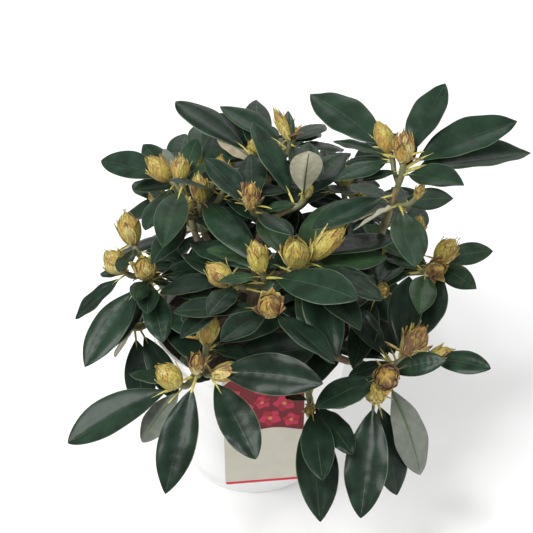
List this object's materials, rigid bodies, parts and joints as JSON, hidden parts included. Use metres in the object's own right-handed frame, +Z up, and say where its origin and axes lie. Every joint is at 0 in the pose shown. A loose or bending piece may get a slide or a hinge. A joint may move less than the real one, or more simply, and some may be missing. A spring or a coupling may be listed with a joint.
{
  "type": "rhododendron in a nursery pot",
  "caption": "Compact evergreen shrub with whorled leathery leaves and winter flower buds, standing in a round tapered nursery pot with a hanging picture label.",
  "frame": {"origin": "middle of the pot's flat underside", "axes": "+Z up along the pot; -Y towards the side with the label"},
  "size_m": [0.435, 0.463, 0.4279],
  "materials": {
    "pot_plastic": "matte white moulded plastic",
    "potting_mix": "dark loose peat and bark",
    "label_card": "printed satin card",
    "bark": "rough brown bark",
    "leaf": "glossy dark green leaf with felted underside"
  },
  "bodies": {
    "root": {"pot": "pot_plastic", "potting_mix": "potting_mix", "label": "label_card", "main_stem": "bark", "bough_top_right": "bark", "bough_right": "bark", "bough_lower_right": "bark", "bough_front": "bark", "bough_lower_left": "bark", "bough_left": "bark", "bough_upper_left": "bark", "bough_top": "bark", "bough_crown_centre": "bark", "bough_centre": "bark", "bough_right_back": "bark", "bough_back": "bark", "bough_back_left": "bark", "bough_low_right": "bark", "bough_low_left": "bark", "bough_low_back": "bark", "foliage_top_right": "leaf", "foliage_right": "leaf", "foliage_lower_right": "leaf", "foliage_front": "leaf", "foliage_lower_left": "leaf", "foliage_left": "leaf", "foliage_upper_left": "leaf", "foliage_top": "leaf", "foliage_crown_centre": "leaf", "foliage_centre": "leaf", "foliage_right_back": "leaf", "foliage_back": "leaf", "foliage_back_left": "leaf", "foliage_low_right": "leaf", "foliage_low_left": "leaf", "foliage_low_back": "leaf"}
  },
  "joints": []
}
